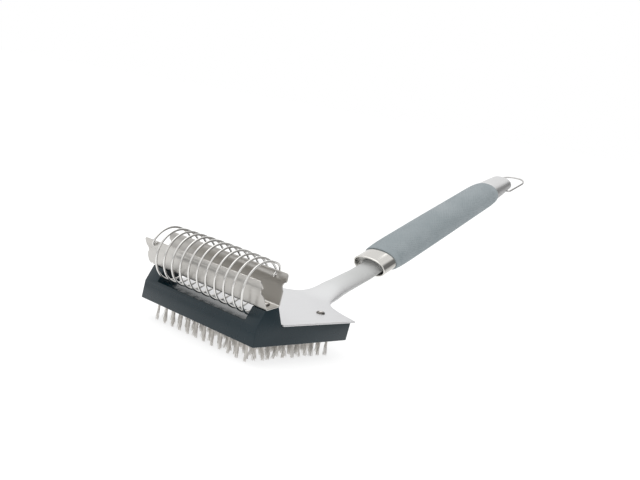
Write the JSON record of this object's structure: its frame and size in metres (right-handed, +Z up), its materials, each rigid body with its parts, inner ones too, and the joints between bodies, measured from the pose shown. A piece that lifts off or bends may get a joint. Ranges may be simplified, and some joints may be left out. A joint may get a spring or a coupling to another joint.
{
  "type": "grill cleaning brush",
  "caption": "Long-handled grill brush: steel bristles under a black head, a scraper channel inside a wire coil, a rubber grip and a wire hanging loop.",
  "frame": {"origin": "on the plane of the bristle tips, under the middle of the head", "axes": "+X across the head, +Y from the head towards the handle, +Z up"},
  "size_m": [0.1695, 0.4835, 0.1794],
  "materials": {
    "black_plastic": "moulded satin",
    "brushed_sheet": "brushed",
    "satin_steel": "satin",
    "polished_steel": "polished",
    "brushed_cap": "fine brushed",
    "bright_wire": "bright drawn",
    "bristle_wire": "crimped wire",
    "grip_rubber": "fine diamond texture"
  },
  "bodies": {
    "brush": {"head_block": "black_plastic", "scraper": "brushed_sheet", "scraper_screws": "bright_wire", "coil": "bright_wire", "tail_plate": "satin_steel", "plate_screws": "bright_wire", "ferrule": "polished_steel", "mouth_plug": "black_plastic", "handle_core": "black_plastic", "grip_sleeve": "grip_rubber", "end_cap": "brushed_cap", "cap_plug": "black_plastic", "bristle_row_1": "bristle_wire", "bristle_row_2": "bristle_wire", "bristle_row_3": "bristle_wire", "bristle_row_4": "bristle_wire", "bristle_row_5": "bristle_wire", "bristle_row_6": "bristle_wire", "bristle_row_7": "bristle_wire", "bristle_row_8": "bristle_wire", "bristle_row_9": "bristle_wire", "bristle_row_10": "bristle_wire", "bristle_row_11": "bristle_wire", "bristle_row_12": "bristle_wire"},
    "loop": {"hang_loop": "bright_wire"}
  },
  "joints": [
    {"name": "loop_swing", "type": "hinge", "parent": "brush", "child": "loop", "pos_m": [0, 0.37418, 0.16309], "axis": [1, 0, 0], "range_deg": [-110, 70]}
  ]
}
